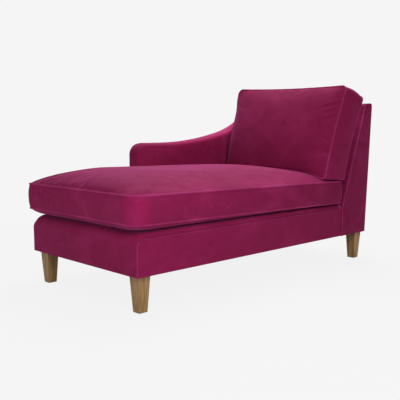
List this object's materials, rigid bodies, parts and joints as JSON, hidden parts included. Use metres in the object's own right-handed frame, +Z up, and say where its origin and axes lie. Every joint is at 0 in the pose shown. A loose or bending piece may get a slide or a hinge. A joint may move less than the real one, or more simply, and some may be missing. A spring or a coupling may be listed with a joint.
{
  "type": "chaise armchair",
  "caption": "One-armed chaise armchair in magenta velvet with a long loose seat cushion, a loose back cushion, a slim swept arm and tapered oak legs.",
  "frame": {"origin": "on the floor under the middle of the whole chair", "axes": "+Z up, -Y towards the foot end, +X towards the open side, the arm on -X"},
  "size_m": [0.8827, 1.6031, 0.927],
  "materials": {
    "velvet": "matte",
    "oak": "satin",
    "frame_timber": "matte",
    "hardboard": "matte",
    "steel": "satin",
    "foam": "matte",
    "filling": "matte",
    "felt": "matte",
    "webbing": "matte",
    "dust_cloth": "matte"
  },
  "bodies": {
    "frame": {"arm_bolts": "steel", "arm_border": "velvet", "arm_dust_cover": "dust_cloth", "arm_foot_rail": "frame_timber", "arm_front_post": "frame_timber", "arm_inside_board": "hardboard", "arm_inside_panel": "velvet", "arm_outside_board": "hardboard", "arm_outside_panel": "velvet", "arm_rear_post": "frame_timber", "arm_top_rail": "frame_timber", "back_end_panel": "velvet", "back_end_welt": "velvet", "back_foam": "foam", "back_post_arm": "frame_timber", "back_post_near": "frame_timber", "back_tack_rail": "frame_timber", "back_top_rail": "frame_timber", "back_webbing": "webbing", "base_cross_rail_1": "frame_timber", "base_cross_rail_2": "frame_timber", "base_cross_rail_3": "frame_timber", "base_dust_cover": "dust_cloth", "base_foot_rail": "frame_timber", "base_rear_rail": "frame_timber", "base_side_panel_arm": "velvet", "base_side_panel_near": "velvet", "base_side_rail_arm": "frame_timber", "base_side_rail_near": "frame_timber", "corner_block_foot_arm": "frame_timber", "corner_block_foot_near": "frame_timber", "corner_block_rear_arm": "frame_timber", "corner_block_rear_near": "frame_timber", "deck_foam": "foam", "foot_and_deck_cover": "velvet", "inside_back_cover": "velvet", "leg_foot_arm": "oak", "leg_foot_near": "oak", "leg_hanger_bolts": "steel", "leg_rear_arm": "oak", "leg_rear_near": "oak", "leg_tee_nuts": "steel", "outside_back_cover": "velvet", "seat_felt": "felt", "seat_springs": "steel", "spring_clips": "steel"},
    "seat_cushion": {"seat_bottom_piping": "velvet", "seat_cushion_case": "velvet", "seat_cushion_filling": "filling", "seat_top_piping": "velvet"},
    "back_cushion": {"back_cushion_case": "velvet", "back_cushion_filling": "filling", "back_cushion_front_piping": "velvet", "back_cushion_rear_piping": "velvet"}
  },
  "joints": [
    {"name": "seat_cushion_lift", "type": "slide", "parent": "frame", "child": "seat_cushion", "axis": [0, 0, 1], "range_m": [0, 0.6]},
    {"name": "back_cushion_lift", "type": "slide", "parent": "seat_cushion", "child": "back_cushion", "axis": [0.04, 0.2989, 0.9535], "range_m": [0, 0.5]}
  ]
}
